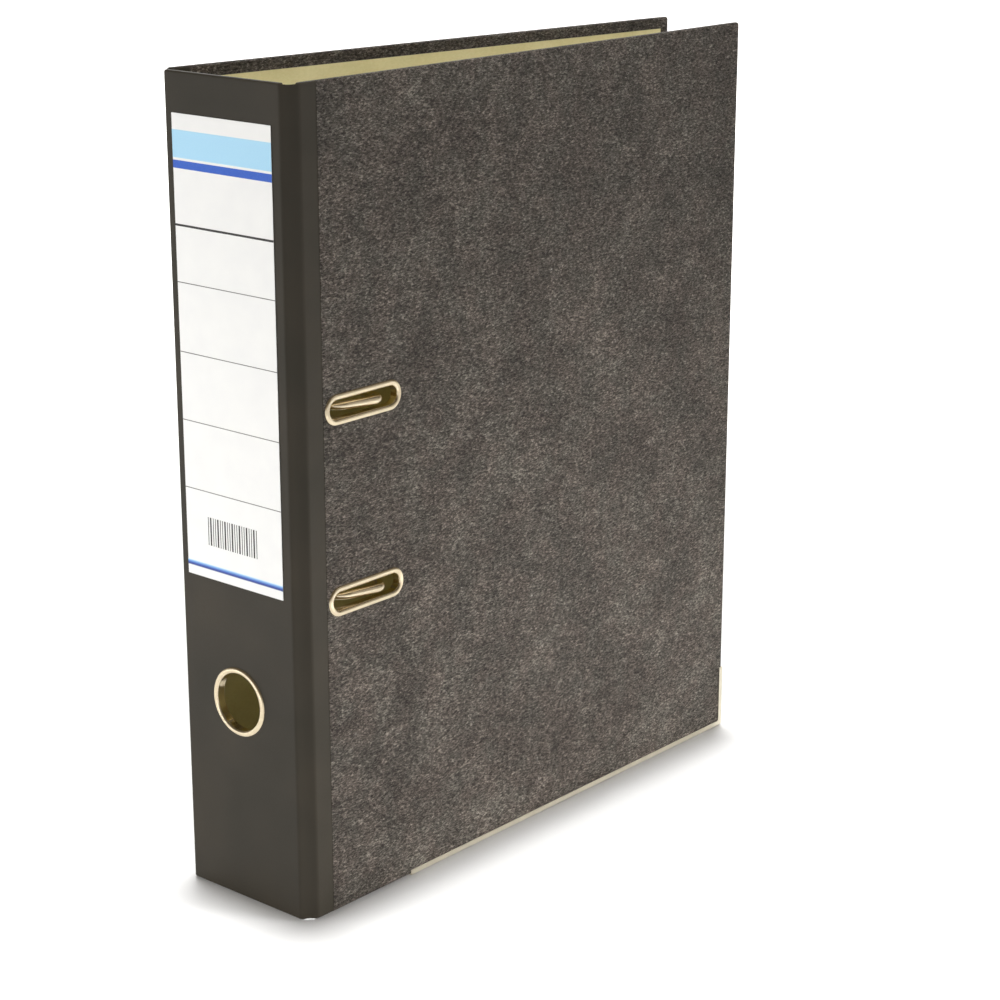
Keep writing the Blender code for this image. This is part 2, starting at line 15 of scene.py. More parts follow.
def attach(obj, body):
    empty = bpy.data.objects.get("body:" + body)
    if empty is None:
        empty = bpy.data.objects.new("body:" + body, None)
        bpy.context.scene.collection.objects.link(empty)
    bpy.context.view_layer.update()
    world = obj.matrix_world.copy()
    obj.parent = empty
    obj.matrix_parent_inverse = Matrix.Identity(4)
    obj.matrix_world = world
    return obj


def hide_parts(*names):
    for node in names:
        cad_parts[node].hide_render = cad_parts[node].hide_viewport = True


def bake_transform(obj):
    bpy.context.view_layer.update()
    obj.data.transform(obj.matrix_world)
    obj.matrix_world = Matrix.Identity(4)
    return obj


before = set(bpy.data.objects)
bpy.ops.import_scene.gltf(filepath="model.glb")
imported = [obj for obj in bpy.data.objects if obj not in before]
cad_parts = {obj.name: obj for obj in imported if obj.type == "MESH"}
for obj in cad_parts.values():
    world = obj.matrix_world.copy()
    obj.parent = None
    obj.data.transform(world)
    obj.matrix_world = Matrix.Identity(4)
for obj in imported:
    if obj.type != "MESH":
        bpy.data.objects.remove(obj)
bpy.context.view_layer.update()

MM = 0.001
WELD = 0.002 * MM

# The case, as in the CAD model
HEIGHT = 346 * MM
DEPTH = 290 * MM
OUTER_HALF = 37.2 * MM
SHOE_DROP = 0.4 * MM
PAPER = 0.35 * MM
GAP = 0.1 * MM
WALL = 2.7 * MM
TURN_IN = 5 * MM
SEAM_X = 30.6 * MM
HINGE_X = 34.4 * MM
HINGE_Y = 3.2 * MM
BAND_END = 14.7 * MM
BAND_STEP = 0.15 * MM
HINGE_REACH = 2.1 * MM
BACK_LEAN = math.radians(6.5)
EDGE_ROLL = 0.85 * MM
LABEL = Vector((55.5 * MM, 190 * MM))
LABEL_AT = Vector((-0.5 * MM, 234.7 * MM))
LABEL_FOOT = LABEL_AT.y - LABEL.y / 2
STRIPE = (3.8 * MM, 6.2 * MM)
RING_AT = (-0.7 * MM, 89 * MM)
RING_HOLE = 24.8 * MM
SLOT = (38.8 * MM, 7.8 * MM)
SLOT_Y = 37.4 * MM
SLOT_Z = (136 * MM, 216 * MM)
RIM = 2.6 * MM
BARREL = 0.5 * MM
SHOE_START = 62 * MM
SHOE_RISE = 30.5 * MM
SHOE_LEG = 2.3 * MM
SHOE_METAL = 0.3 * MM

# The mechanism, as in the CAD model
FILING_Z = (135.4 * MM, 215.4 * MM)
PLATE_Y = (18 * MM, 66 * MM)
PLATE_Z = (96 * MM, 256 * MM)
PLATE = 1 * MM
RIVET_INSET = 5.5 * MM
RIVET_R = 2 * MM
WIRE = 4 * MM
SHAFT = (30 * MM, 6 * MM)
ARCH_SHOULDER = (31.3 * MM, 62.9 * MM)
POST_Y = 56.5 * MM
POST_TOP = 54 * MM
POST_R = 2.3 * MM
ARCH_TOP = 65.8 * MM
CRANK = (39 * MM, 4.2 * MM)
CRANK_Z = (164 * MM, 195 * MM)
LUG_Z = (142 * MM, 210 * MM)
LUG_WIDE = 3.4 * MM
LEVER_PIVOT = (12 * MM, 204 * MM)
LEVER_HALF = 4.4 * MM
LEVER_LENGTH = 54 * MM
SHEET_STEEL = 0.8 * MM
PIN_R = 1.5 * MM
ROLLER_ARM = 14 * MM
ROLLER_R = 4 * MM
CLAMP_H = 14.3 * MM
CLAMP_HALF = 8 * MM
CLAMP_Z = (121 * MM, 231 * MM)
CLAMP_METAL = 1.5 * MM

# Case coordinates to the frame's, for what is square to the spine and for what leans with the back cover
HINGE = Vector((-HINGE_X, HINGE_Y, 0))
CASE = Matrix.Translation((0, -DEPTH / 2, 0))
BACK = CASE @ Matrix.Translation(HINGE) @ Matrix.Rotation(-BACK_LEAN, 4, "Z") @ Matrix.Translation(-HINGE)
ON_BACK = {"back_cover", "arches", "lever", "roller", "paper_clamp"}

# Turn a flat outline's (first, second) coordinates into the case's axes
FACE_X = Matrix(((0, 0, 1, 0), (1, 0, 0, 0), (0, 1, 0, 0), (0, 0, 0, 1)))
FACE_Y = Matrix(((1, 0, 0, 0), (0, 0, -1, 0), (0, 1, 0, 0), (0, 0, 0, 1)))
SIDE_ON = Matrix(((0, 1, 0, 0), (0, 0, 1, 0), (1, 0, 0, 0), (0, 0, 0, 1)))


def at(x, y, z, facing=Matrix.Identity(4)):
    return Matrix.Translation((x, y, z)) @ facing


def over_back(height):
    """The case's x at a height over the back cover's lining."""
    return -OUTER_HALF + WALL + height


# ---------------------------------------------------------------- materials


def srgb(*levels):
    """A linear colour from sRGB levels of 0 to 255."""
    shares = [level / 255 for level in levels]
    return (*[s / 12.92 if s <= 0.04045 else ((s + 0.055) / 1.055) ** 2.4 for s in shares], 1)


def fill_ramp(ramp, stops):
    """Gives a colour ramp its (position, colour) stops."""
    elements = ramp.color_ramp.elements
    while len(elements) < len(stops):
        elements.new(0.5)
    for element, (position, colour) in zip(elements, stops):
        element.position = position
        element.color = colour


class Look:
    """A material on one Principled shader, its patterns in object coordinates."""

    def __init__(self, name, colour, roughness, metallic=0.0, specular=0.5):
        self.material = bpy.data.materials.new(name)
        self.material.use_nodes = True
        self.tree = self.material.node_tree
        self.shader = self.tree.nodes["Principled BSDF"]
        self.set("Base Color", colour)
        self.set("Roughness", roughness)
        self.set("Metallic", metallic)
        self.set("Specular IOR Level", specular)
        self.material.diffuse_color = colour
        self.place = self.node("ShaderNodeTexCoord").outputs["Object"]

    def set(self, socket, value):
        self.shader.inputs[socket].default_value = value

    def node(self, kind, **settings):
        made = self.tree.nodes.new(kind)
        for key, value in settings.items():
            setattr(made, key, value)
        return made

    def link(self, source, target):
        self.tree.links.new(source, target)

    def feed(self, socket, value):
        """Sets a socket to a number or a colour, or links it to another node's output."""
        if isinstance(value, (int, float, tuple)):
            socket.default_value = value
        else:
            self.link(value, socket)

    def stretched(self, stretch):
        """Object coordinates scaled along each axis, so that a pattern is drawn out."""
        mapping = self.node("ShaderNodeMapping")
        mapping.inputs["Scale"].default_value = stretch
        self.link(self.place, mapping.inputs["Vector"])
        return mapping.outputs["Vector"]

    def noise(self, size, detail=2.0, rough=0.5, stretch=None, distortion=0.0):
        """Noise from 0 to 1 with features of about a size in metres."""
        noise = self.node("ShaderNodeTexNoise")
        noise.inputs["Scale"].default_value = 1 / size
        noise.inputs["Detail"].default_value = detail
        noise.inputs["Roughness"].default_value = rough
        noise.inputs["Distortion"].default_value = distortion
        self.link(self.stretched(stretch) if stretch else self.place, noise.inputs["Vector"])
        return noise.outputs["Fac"]

    def spread(self, value, low, high, to_low=0.0, to_high=1.0):
        """A value's range from low to high spread to another, and held there beyond its ends."""
        ranged = self.node("ShaderNodeMapRange")
        self.link(value, ranged.inputs["Value"])
        ranged.inputs["From Min"].default_value = low
        ranged.inputs["From Max"].default_value = high
        ranged.inputs["To Min"].default_value = to_low
        ranged.inputs["To Max"].default_value = to_high
        return ranged.outputs["Result"]

    def maths(self, operation, first, second):
        node = self.node("ShaderNodeMath", operation=operation)
        for socket, value in zip(node.inputs, (first, second)):
            self.feed(socket, value)
        return node.outputs["Value"]

    def weighed(self, *parts):
        """The sum of (value, weight) parts."""
        total, *others = [self.maths("MULTIPLY", value, weight) for value, weight in parts]
        for other in others:
            total = self.maths("ADD", total, other)
        return total

    def ramp(self, value, *stops):
        """A colour for each value, from (position, colour) stops."""
        ramp = self.node("ShaderNodeValToRGB")
        fill_ramp(ramp, stops)
        self.link(value, ramp.inputs["Fac"])
        return ramp.outputs["Color"]

    def mixed(self, share, first, second, how="MIX"):
        """Two colours mixed by a share. The node's sockets for colours are behind its sockets for numbers."""
        mix = self.node("ShaderNodeMix", data_type="RGBA", blend_type=how)
        colours = [socket for socket in mix.inputs if socket.type == "RGBA"]
        for socket, value in zip((mix.inputs["Factor"], *colours), (share, first, second)):
            self.feed(socket, value)
        return [socket for socket in mix.outputs if socket.type == "RGBA"][0]

    def colour(self, source):
        self.link(source, self.shader.inputs["Base Color"])

    def roughness(self, source):
        self.link(source, self.shader.inputs["Roughness"])

    def bump(self, height, depth, strength=1.0):
        """Relief of about a depth in metres."""
        bump = self.node("ShaderNodeBump")
        bump.inputs["Strength"].default_value = strength
        bump.inputs["Distance"].default_value = depth
        self.link(height, bump.inputs["Height"])
        self.link(bump.outputs["Normal"], self.shader.inputs["Normal"])


def spine_paper():
    """Smooth black covering paper, faintly clouded, with a very fine grain."""
    look = Look("spine_paper", srgb(50, 46, 40), 0.52, specular=0.28)
    cloud = look.noise(34 * MM, 2)
    fine = look.noise(0.9 * MM, 3, 0.6)
    tone = look.weighed((cloud, 0.75), (fine, 0.25))
    look.colour(look.ramp(tone, (0.32, srgb(44, 41, 34)), (0.5, srgb(49, 45, 38)), (0.68, srgb(54, 49, 41))))
    look.roughness(look.spread(fine, 0.3, 0.7, 0.44, 0.58))
    look.bump(fine, 0.03 * MM, 0.5)
    return look.material


def marbled_paper():
    """Embossed cloud-marbled paper: charcoal, with its grain drawn out front to back, and pale fibres."""
    look = Look("marbled_paper", srgb(76, 72, 68), 0.6, specular=0.3)
    drawn = (1.0, 0.4, 1.0)
    grain = look.noise(0.66 * MM, 4, 0.68, drawn, 0.5)
    coarse = look.noise(3.0 * MM, 3, 0.6, drawn)
    cloud = look.noise(30 * MM, 4, 0.62)
    tone = look.weighed((grain, 0.74), (coarse, 0.12), (cloud, 0.14))
    colour = look.ramp(
        tone,
        (0.36, srgb(16, 14, 12)),
        (0.45, srgb(49, 45, 42)),
        (0.54, srgb(80, 75, 70)),
        (0.66, srgb(146, 140, 132)),
    )
    tint = look.ramp(look.noise(11 * MM, 2), (0.38, srgb(243, 244, 240)), (0.62, srgb(250, 244, 240)))
    colour = look.mixed(1.0, colour, tint, "MULTIPLY")
    where = look.spread(look.noise(8 * MM, 3, 0.6), 0.56, 0.72)
    fibre = look.spread(look.noise(1.2 * MM, 3, 0.7, (1.0, 0.45, 0.8), 1.2), 0.60, 0.74)
    pale = look.maths("MULTIPLY", where, fibre)
    look.colour(look.mixed(look.maths("MULTIPLY", pale, 0.9), colour, srgb(182, 178, 170)))
    look.roughness(look.spread(grain, 0.3, 0.7, 0.7, 0.5))
    look.bump(look.maths("ADD", grain, look.maths("MULTIPLY", coarse, 0.5)), 0.5 * MM)
    return look.material


def cream_paper():
    """Matt lining paper with fine fibres and slightly uneven toning."""
    look = Look("cream_paper", srgb(218, 208, 158), 0.85, specular=0.2)
    cloud = look.noise(26 * MM, 3)
    fibre = look.noise(0.8 * MM, 3, 0.65, (1.0, 0.5, 1.0))
    tone = look.weighed((cloud, 0.6), (fibre, 0.4))
    look.colour(look.ramp(tone, (0.33, srgb(211, 201, 149)), (0.66, srgb(227, 218, 171))))
    look.bump(fibre, 0.05 * MM, 0.6)
    return look.material


def greyboard():
    """Raw fibrous board, seen only where it is cut."""
    look = Look("greyboard", srgb(150, 143, 132), 0.92, specular=0.15)
    fibre = look.noise(0.7 * MM, 4, 0.7, (1.0, 0.4, 1.0))
    look.colour(look.ramp(fibre, (0.3, srgb(122, 116, 106)), (0.7, srgb(170, 163, 150))))
    look.bump(fibre, 0.1 * MM, 0.7)
    return look.material


def label_paper():
    """Bright semi-gloss label stock."""
    look = Look("label_paper", srgb(243, 243, 242), 0.38, specular=0.4)
    cloud = look.noise(12 * MM, 3)
    look.colour(look.ramp(cloud, (0.3, srgb(234, 234, 233)), (0.7, srgb(238, 238, 236))))
    look.roughness(look.spread(look.noise(0.5 * MM, 2), 0.3, 0.7, 0.34, 0.44))
    look.bump(look.noise(1.2 * MM, 2), 0.02 * MM, 0.4)
    return look.material


def ink(name, *levels):
    """Printing ink, let down a little by the paper's tooth."""
    look = Look(name, srgb(*levels), 0.42, specular=0.4)
    tooth = look.noise(0.35 * MM, 2)
    lighter = [level + (255 - level) * 0.1 for level in levels]
    look.colour(look.ramp(tooth, (0.4, srgb(*levels)), (0.75, srgb(*lighter))))
    return look.material


def stripe_ink(low, high):
    """A blue stripe that is deepest just below its middle and fades out upwards."""
    look = Look("stripe_ink", srgb(60, 90, 170), 0.42, specular=0.4)
    axes = look.node("ShaderNodeSeparateXYZ")
    look.link(look.place, axes.inputs["Vector"])
    colour = look.ramp(
        look.spread(axes.outputs["Z"], low, high),
        (0.0, srgb(196, 204, 220)),
        (0.14, srgb(44, 56, 122)),
        (0.45, srgb(62, 92, 176)),
        (0.75, srgb(128, 178, 226)),
        (1.0, srgb(222, 240, 250)),
    )
    look.colour(colour)
    return look.material


def metal(name, colour, low, high, scratch_size, stretch, metallic=1.0):
    """Bright metal with fine drawn scratches in its polish and faint waviness in its surface."""
    look = Look(name, colour, (low + high) / 2, metallic=metallic)
    scratch = look.noise(scratch_size, 4, 0.7, stretch)
    patch = look.noise(7 * MM, 2)
    look.roughness(look.spread(look.weighed((scratch, 0.6), (patch, 0.4)), 0.35, 0.65, low, high))
    darker = (*[0.93 * level for level in colour[:3]], 1)
    look.colour(look.ramp(patch, (0.35, darker), (0.6, colour)))
    look.bump(scratch, 0.004 * MM, 0.5)
    return look.material


def black_plastic():
    """Finely textured black plastic."""
    look = Look("black_plastic", srgb(26, 26, 27), 0.4, specular=0.5)
    texture = look.noise(0.4 * MM, 2)
    look.colour(look.ramp(look.noise(5 * MM, 2), (0.35, srgb(22, 22, 23)), (0.65, srgb(32, 32, 33))))
    look.roughness(look.spread(texture, 0.3, 0.7, 0.34, 0.5))
    look.bump(texture, 0.03 * MM, 0.5)
    return look.material


# ---------------------------------------------------------------- shapes


def arc(x, y, radius, start, end, steps):
    """Points on an arc between two angles in degrees."""
    angles = [math.radians(start + (end - start) * i / steps) for i in range(steps + 1)]
    return [(x + radius * math.cos(a), y + radius * math.sin(a)) for a in angles]


def circle(x, y, radius, sides=48):
    return arc(x, y, radius, 0, 360 - 360 / sides, sides - 1)


def rectangle(low, high, corner, steps=8):
    """A rectangle between two corners, each of its own corners rounded to a radius."""
    (x0, y0), (x1, y1) = low, high
    centres = (
        (x1 - corner, y1 - corner, 0),
        (x0 + corner, y1 - corner, 90),
        (x0 + corner, y0 + corner, 180),
        (x1 - corner, y0 + corner, 270),
    )
    return [point for x, y, start in centres for point in arc(x, y, corner, start, start + 90, steps)]


def stadium(x, y, length, width, steps=24):
    """A slot with round ends, its length along the first axis."""
    radius, reach = width / 2, (length - width) / 2
    return arc(x + reach, y, radius, -90, 90, steps) + arc(x - reach, y, radius, 90, 270, steps)


def link_object(name, data):
    obj = bpy.data.objects.new(name, data)
    bpy.context.scene.collection.objects.link(obj)
    return obj


def from_faces(name, points, faces):
    mesh = bpy.data.meshes.new(name)
    mesh.from_pydata([tuple(p) for p in points], [], faces)
    shape = bmesh.new()
    shape.from_mesh(mesh)
    bmesh.ops.recalc_face_normals(shape, faces=shape.faces)
    shape.to_mesh(mesh)
    shape.free()
    return link_object(name, mesh)


def evaluated_mesh(obj):
    """A new mesh of the object with its curve's bevel or its modifiers applied."""
    bpy.context.view_layer.update()
    graph = bpy.context.evaluated_depsgraph_get()
    return bpy.data.meshes.new_from_object(obj.evaluated_get(graph))


def curve_mesh(name, curve, where):
    """The curve made a closed mesh, and moved by a matrix."""
    source = link_object(name + "_curve", curve)
    mesh = evaluated_mesh(source)
    bpy.data.objects.remove(source)
    bpy.data.curves.remove(curve)
    mesh.transform(where)
    shape = bmesh.new()
    shape.from_mesh(mesh)
    bmesh.ops.remove_doubles(shape, verts=shape.verts, dist=WELD)
    bmesh.ops.recalc_face_normals(shape, faces=shape.faces)
    shape.to_mesh(mesh)
    shape.free()
    return link_object(name, mesh)


def plate(name, outlines, thickness, where, edge=0.0, rounds=2):
    """A flat piece with edges rounded to a radius: the first outline is its edge, the others are holes."""
    curve = bpy.data.curves.new(name, "CURVE")
    curve.dimensions = "2D"
    curve.fill_mode = "BOTH"
    curve.extrude = thickness / 2 - edge
    curve.bevel_depth = edge
    curve.bevel_resolution = rounds
    curve.offset = -edge
    for i, outline in enumerate(outlines):
        spline = curve.splines.new("POLY")
        spline.points.add(len(outline) - 1)
        for point, (first, second) in zip(spline.points, outline[::-1] if i else outline):
            point.co = (first, second, 0, 1)
        spline.use_cyclic_u = True
    return curve_mesh(name, curve, where)


def block(name, low, high):
    """A box between two corners."""
    low, high = Vector(low), Vector(high)
    shape = bmesh.new()
    bmesh.ops.create_cube(shape, size=1)
    bmesh.ops.scale(shape, vec=high - low, verts=shape.verts)
    bmesh.ops.translate(shape, vec=(low + high) / 2, verts=shape.verts)
    mesh = bpy.data.meshes.new(name)
    shape.to_mesh(mesh)
    shape.free()
    return link_object(name, mesh)


def cut(obj, *cutters, operation="DIFFERENCE"):
    """Applies a Boolean with each cutter, which is then removed."""
    for cutter in cutters:
        boolean = obj.modifiers.new("cut", "BOOLEAN")
        boolean.operation = operation
        boolean.solver = "EXACT"
        boolean.object = cutter
        mesh = evaluated_mesh(obj)
        obj.modifiers.clear()
        old = obj.data
        obj.data = mesh
        bpy.data.meshes.remove(old)
        bpy.data.objects.remove(cutter)
    return obj


def angles(steps):
    """Equal steps of a full turn, in radians."""
    return [2 * math.pi * i / steps for i in range(steps)]


def lathe(name, profile, where, steps=48):
    """A turned piece: the profile is (radius, height along the axis), and starts and ends on the axis."""
    points = [(0, 0, profile[0][1]), (0, 0, profile[-1][1])]
    points += [(r * math.cos(a), r * math.sin(a), h) for r, h in profile[1:-1] for a in angles(steps)]
    last = len(profile) - 3
    faces = []
    for i in range(steps):
        j = (i + 1) % steps
        faces.append((0, 2 + i, 2 + j))
        faces.append((1, 2 + last * steps + j, 2 + last * steps + i))
        for k in range(last):
            a, b = 2 + k * steps, 2 + (k + 1) * steps
            faces.append((a + i, b + i, b + j, a + j))
    obj = from_faces(name, points, faces)
    obj.data.transform(where)
    return obj


def ring_faces(rings, size, closed=False):
    """The faces between neighbouring rings of points, and between the last and the first if closed."""
    faces = []
    for i in range(rings if closed else rings - 1):
        a, b = i * size, (i + 1) % rings * size
        for k in range(size):
            faces.append((a + k, b + k, b + (k + 1) % size, a + (k + 1) % size))
    return faces


def ring_sweep(name, path, profile, where):
    """A closed profile of (out, up) points carried round a closed path in its own plane."""
    points = []
    count = len(path)
    for i, here in enumerate(path):
        before, after = Vector(path[i - 1]), Vector(path[(i + 1) % count])
        along = (after - before).normalized()
        outward = Vector((along.y, -along.x))
        for out, up in profile:
            spot = Vector(here) + outward * out
            points.append((spot.x, spot.y, up))
    obj = from_faces(name, points, ring_faces(count, len(profile), closed=True))
    obj.data.transform(where)
    return obj


def filleted(corners, radii, steps=10):
    """The points of a bent wire: straight runs between corners, each inner corner rounded to its radius."""
    points = [corners[0]]
    for before, corner, after, radius in zip(corners, corners[1:], corners[2:], radii):
        into = (corner - before).normalized()
        out = (after - corner).normalized()
        half = into.angle(out) / 2
        start = corner - into * radius * math.tan(half)
        centre = start + (out - into * into.dot(out)).normalized() * radius
        side = into.cross(out).normalized()
        for i in range(steps + 1):
            turn = Matrix.Rotation(2 * half * i / steps, 3, side)
            points.append(centre + turn @ (start - centre))
    return points + [corners[-1]]


def shade(obj, angle=35):
    """Smooth over gentle edges, with flat faces kept flat."""
    for polygon in obj.data.polygons:
        polygon.use_smooth = True
    obj.data.set_sharp_from_angle(angle=math.radians(angle))
    weighted = obj.modifiers.new("flats", "WEIGHTED_NORMAL")
    weighted.keep_sharp = True
    weighted.weight = 100
    return obj


def dress(obj, look, nodes=()):
    """Gives a piece its material, and lets it stand for CAD nodes."""
    obj.data.materials.clear()
    obj.data.materials.append(look)
    if nodes:
        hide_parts(*nodes)
    return shade(obj)


def place(obj, body, look, slot, *nodes):
    """Moves a finished shape from the case's coordinates to the frame's, and fixes it to its body."""
    obj.data.transform(BACK if body in ON_BACK else CASE)
    dress(obj, look, nodes)
    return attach(obj, body)


# ---------------------------------------------------------------- the covering paper on the spine and hinges


def wrap_section(depth, low, high, thick):
    """One section of the paper as (depth in from its outer face, height), out round the edges and back."""
    roll = min(EDGE_ROLL, depth / 2)
    steps, flat = 5, 0.3 * MM
    inner_low, inner_high = low + TURN_IN, high - TURN_IN

    def skin(inset):
        r = roll - inset
        section = [(depth - inset, inner_low)]
        section += arc(depth - roll, low + roll, r, 0, -90, steps)
        section += arc(roll, low + roll, r, -90, -180, steps)
        section += [(inset, low + roll + flat), (inset, high - roll - flat)]
        section += arc(roll, high - roll, r, 180, 90, steps)
        section += arc(depth - roll, high - roll, r, 90, 0, steps)
        return section + [(depth - inset, inner_high)]

    return skin(0) + skin(thick)[::-1]


def wrap_sheet(name, stations, dips=()):
    """Paper folded over the boards' upper and lower edges: each station is an outer and an inner plan point.

    Each dip is how far the paper is drawn down at the top of its station, where no board holds it up.
    """
    points = []
    for i, (outer, inner) in enumerate(stations):
        across = inner - outer
        depth = across.length
        dip = dips[i] if dips else 0
        for d, z in wrap_section(depth, SHOE_DROP, HEIGHT - dip, PAPER):
            spot = outer + across * (d / depth)
            points.append((spot.x, spot.y, z))
    size = len(points) // len(stations)
    faces = ring_faces(len(stations), size)
    half = size // 2
    for a in (0, (len(stations) - 1) * size):
        for k in range(half - 1):
            faces.append((a + k, a + k + 1, a + size - 2 - k, a + size - 1 - k))
    return from_faces(name, points, faces)


def hinge_stations():
    """The front hinge's plan, from the spine's face round its edge and across the groove to the cover."""
    spine_round, cover_round = 1.6 * MM, 2 * MM
    spine_round_x = 31.2 * MM
    turn = 48.8
    sine, cosine = math.sin(math.radians(turn)), math.cos(math.radians(turn))
    groove_hollow, groove_thick = 0.35 * MM, 0.85 * MM
    outside = OUTER_HALF - BAND_STEP
    inside = OUTER_HALF - WALL
    along = Vector((cosine, sine))
    inward = Vector((-along.y, along.x))
    first = [Vector(p) for p in arc(spine_round_x, spine_round, spine_round, -90, -90 + turn, 4)]
    run = (outside - cover_round + cover_round * sine - first[-1].x) / along.x
    centre_y = (first[-1] + along * run).y + cover_round * cosine
    last = [Vector(p) for p in arc(outside - cover_round, centre_y, cover_round, -90 + turn, 0, 4)]
    groove = []
    for i in range(1, 6):
        share = i / 6
        groove.append(first[-1].lerp(last[0], share) + inward * groove_hollow * math.sin(math.pi * share))
    # The inner plan points behind each rounded edge, in millimetres
    spine_inner = [(31.2, 2.7), (31.5, 2.66), (31.72, 2.4), (31.84, 2.0), (31.95, 1.55)]
    cover_inner = [(35.75, 5.8), (35.2, 5.8), (34.8, 5.95), (34.56, 6.3), (34.5, 6.75)]
    stations = [(Vector((SEAM_X, 0)), Vector((SEAM_X, WALL)))]
    stations += [(outer, Vector(inner) * MM) for outer, inner in zip(first, spine_inner)]
    stations += [(outer, outer + inward * groove_thick) for outer in groove]
    stations += [(outer, Vector(inner) * MM) for outer, inner in zip(last, cover_inner)]
    stations += [(Vector((outside, y)), Vector((inside, y))) for y in (8 * MM, BAND_END - 0.02 * MM)]
    return stations


def hinge_dips(count):
    """How far the paper dips at the top of each station: most in the groove, between the boards' edges."""
    deepest = 0.7 * MM
    first, last = 2, count - 4
    shares = [(i - first) / (last - first) for i in range(count)]
    return [deepest * math.sin(math.pi * share) ** 2 if 0 < share < 1 else 0 for share in shares]


def bend_share(point, side):
    """How far a plan point turns with its cover, 0 on the spine and 1 on the cover."""
    off = (side * point.x - HINGE_X + point.y - HINGE_Y) / math.sqrt(2)
    share = max(0.0, min(1.0, (off + HINGE_REACH) / (2 * HINGE_REACH)))
    return share * share * (3 - 2 * share)


def on_side(point, side):
    """A point of the front hinge's plan as it lies on either side, with the back cover's lean."""
    moved = Vector((side * point.x, point.y))
    if side > 0:
        return moved
    pivot = HINGE.to_2d()
    turned = Matrix.Rotation(-BACK_LEAN * bend_share(moved, side), 2) @ (moved - pivot)
    return pivot + turned


def bend(obj, side, body, look, slot, *nodes):
    """Moves a finished hinge piece from the case's coordinates to the frame's and gives it its material."""
    obj.data.transform(CASE)
    dress(obj, look, nodes)
    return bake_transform(obj)


def spine_wrap(look):
    """The smooth paper over the flat of the spine, with the finger ring's hole."""
    stations = [(Vector((x, 0)), Vector((x, WALL))) for x in (-SEAM_X, 0, SEAM_X)]
    obj = wrap_sheet("spine_wrap", stations)
    where = at(RING_AT[0], 0, RING_AT[1], FACE_Y)
    cut(obj, plate("hole", [circle(0, 0, RING_HOLE / 2 + BARREL)], 6 * MM, where))
    place(obj, "spine", look, "spine_paper", "spine_covering")


def hinge_wraps(look):
    """The same paper from the spine across each groove to the band on the cover."""
    for side, name in ((1, "front"), (-1, "back")):
        stations = [(on_side(outer, side), on_side(inner, side)) for outer, inner in hinge_stations()]
        obj = wrap_sheet(f"{name}_hinge_wrap", stations, hinge_dips(len(stations)))
        bend(obj, side, f"{name}_cover", look, "spine_paper", f"{name}_hinge_strip", f"{name}_hinge_band")


def hinge_linings(look):
    """The cream strip pressed into each groove on the inside."""
    low, high = SHOE_DROP + TURN_IN + GAP, HEIGHT - TURN_IN - GAP
    proud, thick = 0.06 * MM, 0.2 * MM
    start_x, end_y = 29 * MM, 10.5 * MM
    plan = [Vector((start_x, WALL))] + [inner for outer, inner in hinge_stations()]
    plan[-1].y = end_y
    for side, name in ((1, "front"), (-1, "back")):
        rows = []
        for i, here in enumerate(plan):
            along = (plan[min(i + 1, len(plan) - 1)] - plan[max(i - 1, 0)]).normalized()
            inward = Vector((-along.y, along.x))
            rows.append([on_side(here + inward * off, side) for off in (proud - thick, proud)])
        points = []
        for near, far in rows:
            for spot, z in ((near, low), (near, high), (far, high), (far, low)):
                points.append((spot.x, spot.y, z))
        faces = [(0, 1, 2, 3), tuple(len(points) - k for k in (1, 2, 3, 4))]
        faces += ring_faces(len(rows), 4)
        obj = from_faces(f"{name}_hinge_lining", points, faces)
        bend(obj, side, f"{name}_cover", look, "cream_paper")


# ---------------------------------------------------------------- covers


def cover_wrap(side, name, holes, look):
    """Marbled paper folded over the cover's fore-edge, top and bottom: a hollow slab, open on the inside."""
    low, high, fore = SHOE_DROP, HEIGHT, DEPTH - SHOE_DROP
    start = BAND_END - 4 * MM
    middle = side * (OUTER_HALF - WALL / 2)
    outer = rectangle((start, low), (fore, high), 1.3 * MM)
    obj = plate(f"{name}_cover_wrap", [outer] + holes, WALL, at(middle, 0, 0, FACE_X), EDGE_ROLL, 3)
    inner = rectangle((start - MM, low + PAPER), (fore - PAPER, high - PAPER), 1 * MM)
    cavity = plate("cavity", [inner], WALL - 2 * PAPER, at(middle, 0, 0, FACE_X), EDGE_ROLL - PAPER, 2)
    outside = OUTER_HALF + 2 * MM
    under_paper = OUTER_HALF - PAPER - 0.1 * MM
    inside = OUTER_HALF - WALL - 2 * MM
    x0, x1 = sorted((side * under_paper, side * inside))
    window = block("window", (x0, start - MM, low + TURN_IN), (x1, fore - TURN_IN, high - TURN_IN))
    x0, x1 = sorted((side * outside, side * inside))
    trim = block("trim", (x0, 0, -MM), (x1, BAND_END, HEIGHT + MM))
    cut(obj, cavity, window, trim)
    place(obj, f"{name}_cover", look, "marbled_paper", f"{name}_covering")


